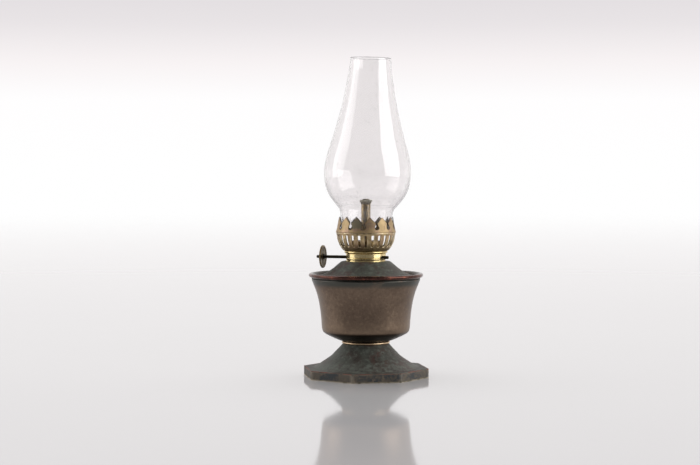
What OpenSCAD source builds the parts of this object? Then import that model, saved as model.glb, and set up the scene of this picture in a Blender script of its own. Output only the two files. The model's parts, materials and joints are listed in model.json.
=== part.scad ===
// Small oil lamp: octagonal trumpet foot, flared bowl for the oil, screw-in brass burner
// with a crown gallery, a round wick with its raiser, and a glass chimney.
// Millimetres, +Z up, origin on the lamp's axis in the plane the foot stands on.

/* [Foot] */
// Width of the octagonal foot across its flats
foot_flats = 85.2; // [82:0.2:92]
// Height of the foot's upright edge
foot_edge_h = 6.5; // [6:0.5:8]
// Radius of the trumpet where it spreads into the flat of the foot
trumpet_foot_r = 37.5; // [34:0.5:38]
// Radius of the trumpet at the neck
neck_r = 16.6; // [15:0.2:17]
// Height of the trumpet's top
trumpet_h = 24; // [22:0.5:26]
// Thickness of the pressed brass of the foot
foot_wall = 1.1; // [0.8:0.1:1.4]

/* [Bowl] */
// Radius of the bowl's wall near its bottom
bowl_r = 31.8; // [30:0.2:33]
// Height of the bowl, from the neck ring to the middle of the rim bead
bowl_h = 47.4; // [44:0.2:50]
// Radius over the rim bead
rim_r = 41.3; // [40:0.1:42]
// Radius of the rolled bead itself
bead_r = 1.65; // [1.2:0.05:2]
// Thickness of the spun brass of the bowl
bowl_wall = 0.9; // [0.7:0.1:1.2]

/* [Shoulder and collar] */
// Rise of the shoulder's top above the middle of the rim bead
shoulder_rise = 10.2; // [9:0.1:12]
// Radius of the shoulder's flat top
shoulder_top_r = 17.6; // [16:0.1:19]
// Thickness of the shoulder's sheet
shoulder_wall = 0.8; // [0.6:0.1:1]
// Radius of the collar's flange
collar_flange_r = 14.2; // [14:0.1:15]

/* [Burner screw] */
// Rise of the screw in one turn
screw_lead = 2.5; // [2:0.5:3]
// Mean radius of the collar's female thread
screw_r = 12; // [11.8:0.1:12.2]
// Depth of the rolled thread, half of crest to root
screw_throw = 0.35; // [0.2:0.05:0.4]
// Radial clearance between the two threads
screw_gap = 0.16; // [0.12:0.02:0.2]
// Length of the burner's threaded sleeve
screw_h = 6.4; // [5:0.2:7]

/* [Burner] */
// Radius of the burner's polished band
band_r = 14.5; // [14.2:0.1:14.8]
// Thickness of the burner's sheet brass
burner_wall = 0.5; // [0.4:0.05:0.6]
// Number of air slots round the basket
slot_count = 26; // [20:1:28]
// Width of an air slot
slot_w = 1.7; // [1.2:0.1:1.8]
// Number of leaves on the crown
leaf_count = 13; // [11:1:14]
// Height of a leaf's tip above the chimney's seat
leaf_h = 11.6; // [10:0.1:13]

/* [Wick and raiser] */
// Turn of the raiser's shaft about the lamp's axis, from a flat of the foot
raiser_turn = -26; // [-45:1:45]
// Distance of the shaft from the lamp's axis
shaft_offset = 5.2; // [5.2:0.05:5.4]
// Radius of the shaft
shaft_r = 1.1; // [0.9:0.05:1.1]
// Radius of the thumb wheel
wheel_r = 8.2; // [7:0.1:8.3]
// Distance of the thumb wheel from the middle of the shaft
wheel_reach = 30.8; // [26:0.2:31]
// Outer radius of the wick tube
tube_r = 3.35; // [3.3:0.05:3.4]
// Radius of the round wick
wick_r = 2.75; // [2.5:0.05:2.75]

/* [Chimney] */
// Height of the glass chimney
chimney_h = 124.8; // [110:0.2:130]
// Radius of its bulb
bulb_r = 31.3; // [28:0.1:33]
// Radius of its mouth
mouth_r = 14.8; // [13:0.1:16]
// Thickness of the glass
glass_wall = 1.2; // [1:0.1:1.5]
// Lean of the hand-blown glass from the upright, in degrees
chimney_lean = 1.6; // [0:0.2:1.6]
// Direction in which it leans, in degrees round the lamp's axis
lean_towards = -10; // [-90:5:90]

/* [Hidden] */
$fn = 96;

// Colours
bronze = [0.33, 0.27, 0.22];
bronze_dark = [0.27, 0.27, 0.24];
copper_edge = [0.62, 0.42, 0.28];
brass = [0.78, 0.66, 0.38];
brass_old = [0.52, 0.44, 0.28];
steel_dark = [0.16, 0.16, 0.11];
cork = [0.22, 0.17, 0.12];
cotton = [0.85, 0.82, 0.74];
clear_glass = [0.9, 0.95, 0.95, 0.35];

eps = 0.01;        // how far a cutter runs past the face that it cuts
snug = 0.05;       // gap between two pieces that are soldered or pressed together
facets = 8;        // an octagon's sides

// Levels, from the table up
neck_ring_h = 1.6;
bowl_z = trumpet_h + neck_ring_h;
rim_z = bowl_z + bowl_h;
shoulder_z = rim_z + shoulder_rise;
collar_flange_h = 1.0;
gasket_h = 0.4;
burner_z = shoulder_z + collar_flange_h + gasket_h;
band_h = 4.5;
band_bead_h = 1.8;
plate_z = burner_z + band_h + band_bead_h;
basket_z = plate_z + burner_wall;
basket_h = 12.6;
seat_z = basket_z + basket_h + burner_wall;
shaft_z = burner_z + 1.7;
tube_top_z = burner_z + 42.6;
screw_z = burner_z - screw_h;

// ---------- curves ----------

// Catmull-Rom curve through points p, with n steps in each span
function between(a, b, c, d, t) =
    0.5 * (2 * b + (c - a) * t + (2 * a - 5 * b + 4 * c - d) * t * t
           + (3 * b - a - 3 * c + d) * t * t * t);
function curve(p, n = 4) =
    let (last = len(p) - 1)
    [for (i = [0 : last - 1]) for (k = [0 : n - 1])
        between(p[max(i - 1, 0)], p[i], p[i + 1], p[min(i + 2, last)], k / n),
     p[last]];

// A curve moved sideways by t, to its left as it is walked
function unit(v) = v / norm(v);
function beside(p, t) =
    let (last = len(p) - 1)
    [for (i = [0 : last])
        let (along = unit(p[min(i + 1, last)] - p[max(i - 1, 0)]))
        p[i] + t * [-along[1], along[0]]];
function backwards(p) = [for (i = [len(p) - 1 : -1 : 0]) p[i]];
function raised(p, z) = [for (q = p) [q[0], q[1] + z]];

// A turned shell: the curve is one skin and the wall lies t to its left
module turned_shell(p, t) {
    rotate_extrude() polygon(concat(p, backwards(beside(p, t))));
}

// A turned ring with a flat-sided section, r and z each from low to high
module ring(r_in, r_out, z_low, z_high) {
    translate([0, 0, z_low]) difference() {
        cylinder(r = r_out, h = z_high - z_low);
        translate([0, 0, -eps]) cylinder(r = r_in, h = z_high - z_low + 2 * eps);
    }
}

module octagon(flats, z_low, z_high) {
    translate([0, 0, z_low]) rotate([0, 0, 180 / facets])
        cylinder(r = flats / 2 / cos(180 / facets), h = z_high - z_low, $fn = facets);
}

// ---------- foot ----------

// The trumpet's skin, from its spread foot up to the neck
trumpet_curve = curve([[trumpet_foot_r, foot_edge_h],
                       [trumpet_foot_r - 6, foot_edge_h + 3.9],
                       [neck_r + 8.9, foot_edge_h + 8],
                       [neck_r + 5.6, foot_edge_h + 11.3],
                       [neck_r + 2.4, trumpet_h - 2.9],
                       [neck_r, trumpet_h]]);
plate_h = 1.0;
plate_lift = 0.4;
well_r = 9;
well_h = 4.6;
stud_r = 2.5;
washer_h = 0.8;
nut_flats = 8;
nut_h = 2.6;

module foot_pedestal() color(bronze_dark) {
    edge_round = 0.6;
    difference() {
        union() {
            octagon(foot_flats, 0, foot_edge_h - edge_round);
            octagon(foot_flats - 2 * edge_round, foot_edge_h - edge_round - eps, foot_edge_h);
            rotate_extrude() polygon(concat([[0, foot_edge_h - 1]],
                                            [[trumpet_foot_r, foot_edge_h - 1]],
                                            trumpet_curve, [[0, trumpet_h]]));
        }
        octagon(foot_flats - 2 * foot_wall, -eps, foot_edge_h - foot_wall);
        rotate_extrude() polygon(concat([[0, 0]], [[trumpet_foot_r - foot_wall, 0]],
                                        [for (q = beside(trumpet_curve, foot_wall))
                                            if (q[1] < trumpet_h - foot_wall) q],
                                        [[neck_r - foot_wall, trumpet_h - foot_wall],
                                         [0, trumpet_h - foot_wall]]));
        cylinder(r = stud_r + 0.2, h = trumpet_h + 1);
    }
}

module foot_plate() color(bronze_dark) {
    well_top = plate_lift + well_h;
    difference() {
        union() {
            octagon(foot_flats - 2 * foot_wall - 2 * snug, plate_lift, plate_lift + plate_h);
            cylinder(r = well_r + plate_h, h = well_top + plate_h);
        }
        translate([0, 0, -eps]) cylinder(r = well_r, h = well_top + eps);
        cylinder(r = stud_r + 0.2, h = well_top + 2);
        translate([0, 0, -1]) cylinder(r = well_r + 2, h = 1 + plate_lift);
    }
}

module stud_washer() color(brass_old) {
    ring(stud_r + 0.1, 5.2, plate_lift + well_h - washer_h - snug, plate_lift + well_h - snug);
}

module stud_nut() color(brass_old) {
    nut_z = plate_lift + well_h - washer_h - nut_h - 2 * snug;
    translate([0, 0, nut_z]) difference() {
        cylinder(r = nut_flats / 2 / cos(30), h = nut_h, $fn = 6);
        translate([0, 0, -eps]) cylinder(r = stud_r + snug, h = nut_h + 2 * eps);
    }
}

module tie_stud() color(brass_old) {
    stud_foot_z = 0.8;
    head_h = 1.2;
    translate([0, 0, stud_foot_z]) cylinder(r = stud_r, h = bowl_z - stud_foot_z - snug);
    translate([0, 0, bowl_z - head_h - snug]) cylinder(r = neck_r - 6, h = head_h);
}

module neck_ring() color(copper_edge) {
    ring_in = neck_r - 5.5;
    half = neck_ring_h / 2;
    rotate_extrude() union() {
        translate([ring_in, trumpet_h + snug]) square([neck_r - ring_in, neck_ring_h - 2 * snug]);
        translate([neck_r, trumpet_h + half]) circle(r = half - snug);
    }
}

// ---------- oil bowl ----------

// The bowl's outer skin, from its flat bottom up to the rim bead
bowl_curve = raised(curve([[neck_r - 0.6, 0],
                           [neck_r + 3.8, 1.3],
                           [bowl_r - 4.6, 4.4],
                           [bowl_r - 1.2, 6.6],
                           [bowl_r - 0.1, 9.4],
                           [bowl_r + 0.3, 14.5],
                           [bowl_r + 0.9, 21],
                           [bowl_r + 2.1, 28.6],
                           [bowl_r + 3.8, 35.2],
                           [bowl_r + 5.7, 40.2],
                           [bowl_r + 7.3, 44.4],
                           [rim_r - bead_r - 0.5, bowl_h - bead_r + 0.35]]), bowl_z);

module font_bowl() color(bronze) {
    union() {
        rotate_extrude() polygon(concat([[0, bowl_z]], bowl_curve,
                                        backwards(beside(bowl_curve, bowl_wall)),
                                        [[0, bowl_z + bowl_wall]]));
        rotate_extrude() translate([rim_r - bead_r, rim_z]) circle(r = bead_r);
    }
}

// The shoulder's upper skin, from the collar hole out to the ledge inside the rim
ledge_z = rim_z - 0.6;
ledge_r = rim_r - 2 * bead_r - snug;
collar_hole_r = 13.25;
shoulder_curve = concat([[collar_hole_r, shoulder_z]],
                        curve([[shoulder_top_r - 0.8, shoulder_z],
                               [shoulder_top_r + 0.4, shoulder_z - 0.4],
                               [shoulder_top_r + 3, shoulder_z - 2.5],
                               [shoulder_top_r + 6.4, shoulder_z - 5.3],
                               [shoulder_top_r + 11, shoulder_z - 8.3],
                               [ledge_r - 4.4, ledge_z + 0.5],
                               [ledge_r - 2.6, ledge_z]], 3),
                        [[ledge_r, ledge_z]]);

module font_shoulder() color(bronze_dark) {
    turned_shell(backwards(shoulder_curve), shoulder_wall);
}

// ---------- screw ----------

// A rolled thread's skin is a rod whose middle runs round the axis as it climbs
screw_sides = 36;
screw_steps = 8;      // levels in one turn
function screw_ring(r, z) =
    [for (i = [0 : screw_sides - 1])
        let (a = 360 * i / screw_sides,
             at = r + screw_throw * cos(a - 360 * (z - screw_z) / screw_lead))
        [at * cos(a), at * sin(a), z]];

module screw_rod(r, z_low, z_high) {
    levels = round((z_high - z_low) / screw_lead * screw_steps);
    rise = (z_high - z_low) / levels;
    n = screw_sides;
    polyhedron(points = [for (k = [0 : levels]) each screw_ring(r, z_low + k * rise)],
               faces = concat([[for (i = [0 : n - 1]) i]],
                              [for (k = [0 : levels - 1]) for (i = [0 : n - 1])
                                  [k * n + i, (k + 1) * n + i,
                                   (k + 1) * n + (i + 1) % n, k * n + (i + 1) % n]],
                              [[for (i = [n - 1 : -1 : 0]) levels * n + i]]));
}

collar_depth = 6.8;

module font_collar() color(brass) {
    difference() {
        union() {
            translate([0, 0, shoulder_z])
                cylinder(r = collar_flange_r, h = collar_flange_h);
            translate([0, 0, shoulder_z - collar_depth])
                cylinder(r = collar_hole_r - snug, h = collar_depth + eps);
        }
        screw_rod(screw_r, shoulder_z - collar_depth - 1, shoulder_z + collar_flange_h + 1);
    }
}

// ---------- burner, with the raiser's shaft along X ----------

module burner_place() rotate([0, 0, raiser_turn]) children();

module burner_gasket() color(cork) {
    ring(screw_r + screw_throw + 0.2, collar_flange_r - 0.3,
         shoulder_z + collar_flange_h, burner_z - snug);
}

sleeve_r = screw_r - screw_gap;
cup_r = sleeve_r - screw_throw - burner_wall - snug;

module burner_screw() color(brass) {
    difference() {
        screw_rod(sleeve_r, screw_z, screw_z + screw_h - snug);
        translate([0, 0, screw_z - 1]) cylinder(r = cup_r + snug, h = screw_h + 2);
    }
}

module shaft_line(r, low, high) {
    translate([low, -shaft_offset, shaft_z]) rotate([0, 90, 0]) cylinder(r = r, h = high - low);
}

vent_r = 1.1;
vent_y = 7;

module burner_cup() color(brass) burner_place() {
    w = burner_wall;
    difference() {
        union() {
            ring(tube_r + snug, cup_r, screw_z, screw_z + w);
            ring(cup_r - w, cup_r, screw_z, burner_z + w);
            ring(cup_r - w, band_r, burner_z, burner_z + w);
            ring(band_r - w, band_r, burner_z, burner_z + band_h + w);
            ring(band_r - w, band_r + 0.8, burner_z + band_h, plate_z - snug);
            rotate_extrude() translate([band_r + 0.3, burner_z + band_h + band_bead_h / 2])
                circle(r = band_bead_h / 2 - snug);
        }
        shaft_line(shaft_r + 0.08, -band_r - 2, band_r + 2);
        translate([0, vent_y, screw_z - eps]) cylinder(r = vent_r + snug, h = 2);
    }
}

box_half = 3.4;
box_back = shaft_offset + 3.2;
box_low = shaft_z - 3.1;
box_high = shaft_z + 3.1;

module spur_box() color(brass_old) burner_place() {
    w = burner_wall;
    difference() {
        translate([-box_half, -box_back, box_low]) cube([2 * box_half, box_back, box_high - box_low]);
        translate([-box_half + w, -box_back + w, box_low + w])
            cube([2 * (box_half - w), box_back, box_high - box_low - 2 * w]);
        translate([0, 0, box_low - eps]) cylinder(r = tube_r + snug, h = box_high - box_low + 2 * eps);
        shaft_line(shaft_r + 0.08, -box_half - 1, box_half + 1);
    }
}

tube_wall = 0.45;
tube_foot_z = screw_z - 2.4;

module wick_tube() color(brass_old) burner_place() {
    window_h = 5.6;
    difference() {
        ring(tube_r - tube_wall, tube_r, tube_foot_z, tube_top_z);
        translate([-1.6, -tube_r - 1, shaft_z - window_h / 2]) cube([3.2, tube_r + 1, window_h]);
    }
}

module tube_flange() color(brass_old) {
    lip_r = 4.5;
    r = tube_r + snug;
    skin = curve([[r, -2.8], [r + 0.35, -2.3], [r + 0.9, -1.6], [lip_r, -1], [lip_r - 0.1, -0.3],
                  [r + 0.6, 0.1], [r, 0.1]], 3);
    rotate_extrude() polygon(raised(skin, tube_top_z));
}

module vent_tube() color(brass_old) burner_place() {
    translate([0, vent_y, 0]) ring(vent_r - 0.35, vent_r, screw_z - 1.2, plate_z - 3);
}

// The perforated cap that spreads the draught, with [ring radius, number of holes] rows
cap_r = 11.3;
cap_h = 7;

module air_diffuser() color(brass_old) burner_place() {
    hole_r = 0.8;
    w = burner_wall;
    side_holes = 24;
    difference() {
        union() {
            ring(cap_r - w, band_r + 0.7, plate_z, plate_z + w - snug);
            ring(cap_r - w, cap_r, plate_z, plate_z + cap_h);
            ring(tube_r + snug, cap_r, plate_z + cap_h - w, plate_z + cap_h);
        }
        for (row = [[5.6, 10], [8.6, 16]]) for (i = [0 : row[1] - 1])
            rotate([0, 0, 360 * i / row[1]]) translate([row[0], 0, plate_z + cap_h - 1])
                cylinder(r = hole_r, h = 2);
        for (i = [0 : side_holes - 1])
            rotate([0, 0, 360 * i / side_holes]) translate([cap_r - 1, 0, plate_z + cap_h / 2])
                rotate([0, 90, 0]) cylinder(r = hole_r, h = 2);
    }
}

// The basket's outer skin, from its foot up to the turned-out rim
basket_r = 20.7;
rim_out_r = 21.5;
basket_curve = raised(curve([[band_r + 1.4, 0],
                             [band_r + 2.4, 1.1],
                             [band_r + 4.1, 3.5],
                             [band_r + 5.4, 6.6],
                             [basket_r - 0.25, 9.6],
                             [basket_r, basket_h - 0.4]], 2), basket_z);
slot_low = basket_z + 3.4;
slot_high = basket_z + 9.9;
slot_phase = -74.3;

module gallery_basket() color(brass_old) burner_place() {
    w = burner_wall;
    difference() {
        union() {
            turned_shell(basket_curve, w);
            ring(band_r - 0.4, band_r + 1.4, basket_z, basket_z + w);
            ring(basket_r - w, rim_out_r, basket_z + basket_h - w, basket_z + basket_h - snug);
        }
        for (i = [0 : slot_count - 1])
            rotate([0, 0, slot_phase + 360 * i / slot_count]) translate([band_r - 1, 0, 0])
                rotate([90, 0, 90]) linear_extrude(height = basket_r) union() {
                    translate([-slot_w / 2, slot_low]) square([slot_w, slot_high - slot_low]);
                    translate([0, slot_low]) circle(r = slot_w / 2);
                    translate([0, slot_high]) circle(r = slot_w / 2);
                }
    }
}

// The crown's outer skin above the seat, in which the leaves are cut
crown_seat_r = 16.9;
leaf_phase = -65.6;
leaf_gap_r = 1.35;
throat_half = 0.55;
crown_base_r = 21.6;
crown_curve = raised(curve([[crown_base_r - 0.15, 0],
                            [crown_base_r, 0.6],
                            [crown_base_r - 0.5, 2.2],
                            [crown_base_r - 1.1, 5],
                            [crown_base_r - 1.7, 8.4],
                            [crown_base_r - 2.1, leaf_h]], 2), seat_z - burner_wall);

// The gap between two leaves: a round eye, a narrow throat over it, and a wide vee
module leaf_gap() {
    eye_z = seat_z + 3.1;
    throat_z = seat_z + 5.2;
    vee_z = seat_z + 6.6;
    tip_z = seat_z + leaf_h - burner_wall;
    half_pitch = 3.14159 * (crown_base_r - 1.5) / leaf_count;
    rotate([90, 0, 90]) linear_extrude(height = 10) union() {
        translate([0, eye_z]) circle(r = leaf_gap_r);
        polygon([[-leaf_gap_r * 0.8, eye_z + leaf_gap_r * 0.6],
                 [leaf_gap_r * 0.8, eye_z + leaf_gap_r * 0.6],
                 [throat_half, throat_z], [throat_half, vee_z],
                 [half_pitch, tip_z], [half_pitch, tip_z + 1],
                 [-half_pitch, tip_z + 1], [-half_pitch, tip_z],
                 [-throat_half, vee_z], [-throat_half, throat_z]]);
    }
}

module gallery_crown() color(brass_old) burner_place() {
    w = burner_wall;
    difference() {
        union() {
            turned_shell(crown_curve, w);
            ring(crown_seat_r, crown_base_r - 0.3, seat_z - w, seat_z);
        }
        for (i = [0 : leaf_count - 1])
            rotate([0, 0, leaf_phase + 360 * (i + 0.5) / leaf_count])
                translate([crown_base_r - 6, 0, 0]) leaf_gap();
    }
}

// ---------- wick and raiser ----------

shaft_left = -35.2;
shaft_right = 18.1;
wheel_h = 1.1;
spur_r = shaft_offset - wick_r - 0.05;

function star(points, r_tip, r_root) =
    [for (i = [0 : 2 * points - 1])
        let (r = i % 2 == 0 ? r_tip : r_root, a = 180 * i / points) r * [cos(a), sin(a)]];

// Puts a piece that is built along +Z on the shaft, x from the middle of the shaft
module on_shaft(x) translate([x, -shaft_offset, shaft_z]) rotate([0, 90, 0]) children();

module raiser_shaft() color(steel_dark) burner_place() {
    tip = 0.4;
    on_shaft(shaft_left + tip) cylinder(r = shaft_r, h = shaft_right - shaft_left - 2 * tip);
    on_shaft(shaft_left) cylinder(r1 = shaft_r - tip, r2 = shaft_r, h = tip);
    on_shaft(shaft_right - tip) cylinder(r1 = shaft_r, r2 = shaft_r - tip, h = tip);
}

module spur_wheels() color(steel_dark) burner_place() {
    spur_h = 0.7;
    for (x = [-0.95, 0.25]) on_shaft(x) linear_extrude(height = spur_h) difference() {
        polygon(star(11, spur_r, spur_r - 0.6));
        circle(r = shaft_r + snug / 2);
    }
}

module shaft_collars() color(steel_dark) burner_place() {
    stop_h = 1;
    stop_r = 1.8;
    for (x = [-box_half - 0.2 - stop_h, box_half + 0.2])
        on_shaft(x) ring(shaft_r + snug / 2, stop_r, 0, stop_h);
}

module thumb_wheel() color(brass_old) burner_place() {
    web_in = 2.6;
    web_out = wheel_r - 1.3;
    dish = 0.25;
    on_shaft(-wheel_reach - wheel_h / 2) difference() {
        linear_extrude(height = wheel_h) polygon(star(56, wheel_r, wheel_r - 0.3));
        for (z = [-eps, wheel_h - dish]) ring(web_in, web_out, z, z + dish + eps);
        translate([0, 0, -1]) cylinder(r = shaft_r + snug / 2, h = wheel_h + 2);
    }
}

module wheel_hub() color(steel_dark) burner_place() {
    hub_r = 1.9;
    hub_h = 0.8;
    for (x = [-wheel_reach - wheel_h / 2 - hub_h - snug, -wheel_reach + wheel_h / 2 + snug])
        on_shaft(x) ring(shaft_r + snug / 2, hub_r, 0, hub_h);
}

wick_foot_z = bowl_z + 10.5;
wick_proud = 0.9;

module wick() color(cotton) {
    translate([0, 0, wick_foot_z]) cylinder(r = wick_r, h = tube_top_z - wick_foot_z);
    translate([0, 0, tube_top_z]) cylinder(r1 = wick_r, r2 = wick_r - 0.9, h = wick_proud);
}

// ---------- chimney ----------

// The glass's outer skin, from below the seat up to the mouth
glass_r = 18.4;
chimney_curve = curve([[glass_r, -1],
                       [glass_r, 8],
                       [glass_r + 1.1, 15.3],
                       [glass_r + 3.8, 19],
                       [glass_r + 8.7, 25.4],
                       [bulb_r - 0.9, 33.4],
                       [bulb_r, 43.5],
                       [bulb_r - 1.6, 54.4],
                       [bulb_r - 5.6, 68],
                       [mouth_r + 7.8, 79.5],
                       [mouth_r + 4.1, 95],
                       [mouth_r + 1.8, 108.7],
                       [mouth_r + 0.5, 117.5],
                       [mouth_r, chimney_h]]);

module chimney() color(clear_glass) {
    difference() {
        translate([0, 0, seat_z + snug]) rotate([0, 0, lean_towards]) rotate([0, chimney_lean, 0])
            turned_shell(chimney_curve, glass_wall);
        translate([0, 0, seat_z + snug - 5]) cylinder(r = 2 * glass_r, h = 5);
    }
}

foot_pedestal();
foot_plate();
stud_washer();
stud_nut();
tie_stud();
neck_ring();
font_bowl();
font_shoulder();
font_collar();
burner_gasket();
burner_screw();
burner_cup();
spur_box();
wick_tube();
tube_flange();
vent_tube();
air_diffuser();
gallery_basket();
gallery_crown();
raiser_shaft();
spur_wheels();
shaft_collars();
thumb_wheel();
wheel_hub();
wick();
chimney();
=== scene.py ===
"""A small oil lamp: its outer pieces, its finishes, and the studio that it stands in."""
import json
import math
import random

import bmesh
import bpy
from bpy.props import FloatProperty, FloatVectorProperty, IntProperty, PointerProperty
from mathutils import Matrix, Vector


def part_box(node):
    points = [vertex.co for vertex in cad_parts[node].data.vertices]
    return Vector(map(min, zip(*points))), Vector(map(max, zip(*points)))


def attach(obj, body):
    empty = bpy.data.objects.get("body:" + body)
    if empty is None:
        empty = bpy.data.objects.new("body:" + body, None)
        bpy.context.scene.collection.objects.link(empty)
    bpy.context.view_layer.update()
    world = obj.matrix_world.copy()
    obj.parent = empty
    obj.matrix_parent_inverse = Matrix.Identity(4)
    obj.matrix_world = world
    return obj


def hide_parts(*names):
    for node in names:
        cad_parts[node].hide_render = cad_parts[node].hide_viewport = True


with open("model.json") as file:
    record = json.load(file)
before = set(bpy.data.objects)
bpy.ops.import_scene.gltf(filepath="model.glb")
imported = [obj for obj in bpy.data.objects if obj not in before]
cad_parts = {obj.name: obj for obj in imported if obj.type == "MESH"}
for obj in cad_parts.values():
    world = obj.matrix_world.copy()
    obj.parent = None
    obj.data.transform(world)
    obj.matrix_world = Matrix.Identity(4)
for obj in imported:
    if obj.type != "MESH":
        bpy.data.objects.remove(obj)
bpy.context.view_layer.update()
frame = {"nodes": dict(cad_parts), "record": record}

bl_info = {
    "name": "Oil lamp",
    "version": (1, 0, 0),
    "blender": (4, 5, 0),
    "location": "3D View > Sidebar > Lamp",
    "description": "Models and finishes a small bronze oil lamp with a crown burner",
    "category": "Object",
}

MM = 0.001
STEPS = 128               # steps of a turned piece
SEED = 7                  # of the leaves' bends
SOLDER_GAP = 0.05         # mm between pieces that are soldered together
NECK_BEAD = 0.75          # radius of the neck ring's bead, mm
FIRST_SLOT = -100.3       # angle of one air slot, degrees
FIRST_LEAF = -65.6        # angle of one leaf from the raiser's shaft, degrees
TUBE_SEAM = -196.3        # angle of the wick tube's seam, degrees
TUBE_BORE = 2.9           # mm
TUBE_WINDOW = (83.5, 89.1)    # heights between which the spur wheels reach the wick, mm
SEAM_FOOT = 92            # height where the tube's seam begins to show, mm
SHAFT_ENDS = (-35.2, 18.1)    # mm along the shaft
SHAFT_RADIUS = 1.1        # mm
WHEEL_RADIUS = 8.2        # mm
WHEEL_THICKNESS = 1.1     # mm
WHEEL_PLACE = -30.8       # mm along the shaft
CHIMNEY_HEIGHT = 124.8    # mm
LENS = 87.1               # mm, on a 36 mm sensor
AIM_LEFT, AIM_DOWN = 0.538, 2.214     # how far the camera looks beside the axis, degrees
BODY_OF = {node: body for body, nodes in
           frame["record"]["behaviour"]["bodies"].items() for node in nodes}
JOINTS = {joint["name"]: joint for joint in frame["record"]["behaviour"]["joints"]}


# ---------- where things are, in millimetres ----------

def low(node):
    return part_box(node)[0].z / MM


def high(node):
    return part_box(node)[1].z / MM


def reach(node):
    """The radius of a turned node."""
    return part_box(node)[1].x / MM


def size(name):
    """One of the sidebar's lengths, in millimetres."""
    return getattr(bpy.context.scene.lamp_sizes, name) / MM


def burner_angle():
    """How far the raiser's shaft is turned from the X axis."""
    along = JOINTS["raiser_turn"]["axis"]
    return math.atan2(along[1], along[0])


def shaft_place(x):
    """Puts a piece that is built round the Z axis on the raiser's shaft, x mm along it."""
    middle = Vector(JOINTS["raiser_turn"]["pos_m"])
    turn = Matrix.Rotation(burner_angle(), 4, "Z")
    return (Matrix.Translation(middle) @ turn @ Matrix.Translation((x * MM, 0, 0))
            @ Matrix.Rotation(math.radians(90), 4, "Y"))


# ---------- outlines ----------

def curve(points, steps=5):
    """A smooth curve through the points."""
    made = []
    last = len(points) - 1
    for i in range(last):
        a, b = points[max(i - 1, 0)], points[i]
        c, d = points[i + 1], points[min(i + 2, last)]
        for k in range(steps):
            t = k / steps
            made.append(tuple(
                0.5 * (2 * q + (r - p) * t + (2 * p - 5 * q + 4 * r - s) * t * t
                       + (3 * q - p - 3 * r + s) * t ** 3)
                for p, q, r, s in zip(a, b, c, d)))
    return made + [tuple(points[-1])]


def arc(x, z, radius, start, end, steps=8):
    """Points on a circle round (x, z), from one angle in degrees to another."""
    angles = [math.radians(start + (end - start) * i / steps) for i in range(steps + 1)]
    return [(x + radius * math.cos(a), z + radius * math.sin(a)) for a in angles]


def beside(points, gap):
    """The outline moved sideways, to its left as it is walked."""
    made = []
    for i, point in enumerate(points):
        before, after = points[max(i - 1, 0)], points[min(i + 1, len(points) - 1)]
        along = Vector((after[0] - before[0], after[1] - before[1])).normalized()
        made.append((max(point[0] - gap * along.y, 0), point[1] + gap * along.x))
    return made


def raised(points, height):
    return [(x, z + height) for x, z in points]


# ---------- modelling ----------

def clear_selection():
    if bpy.context.object and bpy.context.object.mode != "OBJECT":
        bpy.ops.object.mode_set(mode="OBJECT")
    bpy.ops.object.select_all(action="DESELECT")


def pick(obj):
    """Selects one piece alone and makes it the active one."""
    clear_selection()
    obj.select_set(True)
    bpy.context.view_layer.objects.active = obj


def started(name):
    """Names the new primitive, sets its place in its mesh and opens it for editing."""
    obj = bpy.context.object
    obj.name = name
    obj.data.name = name
    bpy.ops.object.transform_apply(location=True, rotation=True, scale=True)
    bpy.ops.object.mode_set(mode="EDIT")
    bpy.ops.mesh.select_mode(type="VERT")
    return obj


def traced(name, outline, y=0):
    """Draws (x, z) points as a chain of edges, which stays open for editing."""
    clear_selection()
    x, z = outline[0]
    bpy.ops.mesh.primitive_plane_add(size=MM, location=(x * MM, y * MM, z * MM))
    obj = started(name)
    bpy.ops.mesh.merge(type="CENTER")
    for here, there in zip(outline, outline[1:]):
        move = ((there[0] - here[0]) * MM, 0, (there[1] - here[1]) * MM)
        bpy.ops.mesh.extrude_vertices_move(TRANSFORM_OT_translate={"value": move})
    return obj


def close_edit(merge=0):
    """Merges doubles, turns every face outwards and leaves edit mode."""
    bpy.ops.mesh.select_all(action="SELECT")
    if merge:
        bpy.ops.mesh.remove_doubles(threshold=merge)
    bpy.ops.mesh.normals_make_consistent(inside=False)
    bpy.ops.object.mode_set(mode="OBJECT")


def spun(name, outline, closed=False, steps=STEPS):
    """Turns an outline of (radius, height) points about the lamp's axis."""
    obj = traced(name, outline)
    if closed:
        choose(obj, lambda at, vert: len(vert.link_edges) == 1, "VERT")
        bpy.ops.mesh.edge_face_add()
    bpy.ops.mesh.select_all(action="SELECT")
    bpy.ops.mesh.spin(steps=steps, angle=2 * math.pi, center=(0, 0, 0), axis=(0, 0, 1))
    close_edit(MM / 500)
    return obj


def choose(obj, test, kind="FACE"):
    """In edit mode, selects the faces, edges or vertices whose middle passes the test."""
    bpy.ops.mesh.select_mode(type=kind)
    bpy.ops.mesh.select_all(action="DESELECT")
    mesh = bmesh.from_edit_mesh(obj.data)
    parts = {"FACE": mesh.faces, "EDGE": mesh.edges, "VERT": mesh.verts}[kind]
    for part in parts:
        if kind == "VERT":
            middle = part.co
        elif kind == "EDGE":
            middle = (part.verts[0].co + part.verts[1].co) / 2
        else:
            middle = part.calc_center_median()
        part.select_set(bool(test(middle / MM, part)))
    mesh.select_flush_mode()
    bmesh.update_edit_mesh(obj.data)


def edit(obj):
    pick(obj)
    bpy.ops.object.mode_set(mode="EDIT")


def modify(obj, kind, **settings):
    """Adds a modifier and applies it."""
    pick(obj)
    modifier = obj.modifiers.new(kind.title(), kind)
    for key, value in settings.items():
        setattr(modifier, key, value)
    bpy.ops.object.modifier_apply(modifier=modifier.name)


def round_edges(obj, width, segments, degrees):
    """Bevels the edges that turn by more than the angle; the width is in mm."""
    modify(obj, "BEVEL", width=width * MM, segments=segments, limit_method="ANGLE",
           angle_limit=math.radians(degrees))


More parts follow.
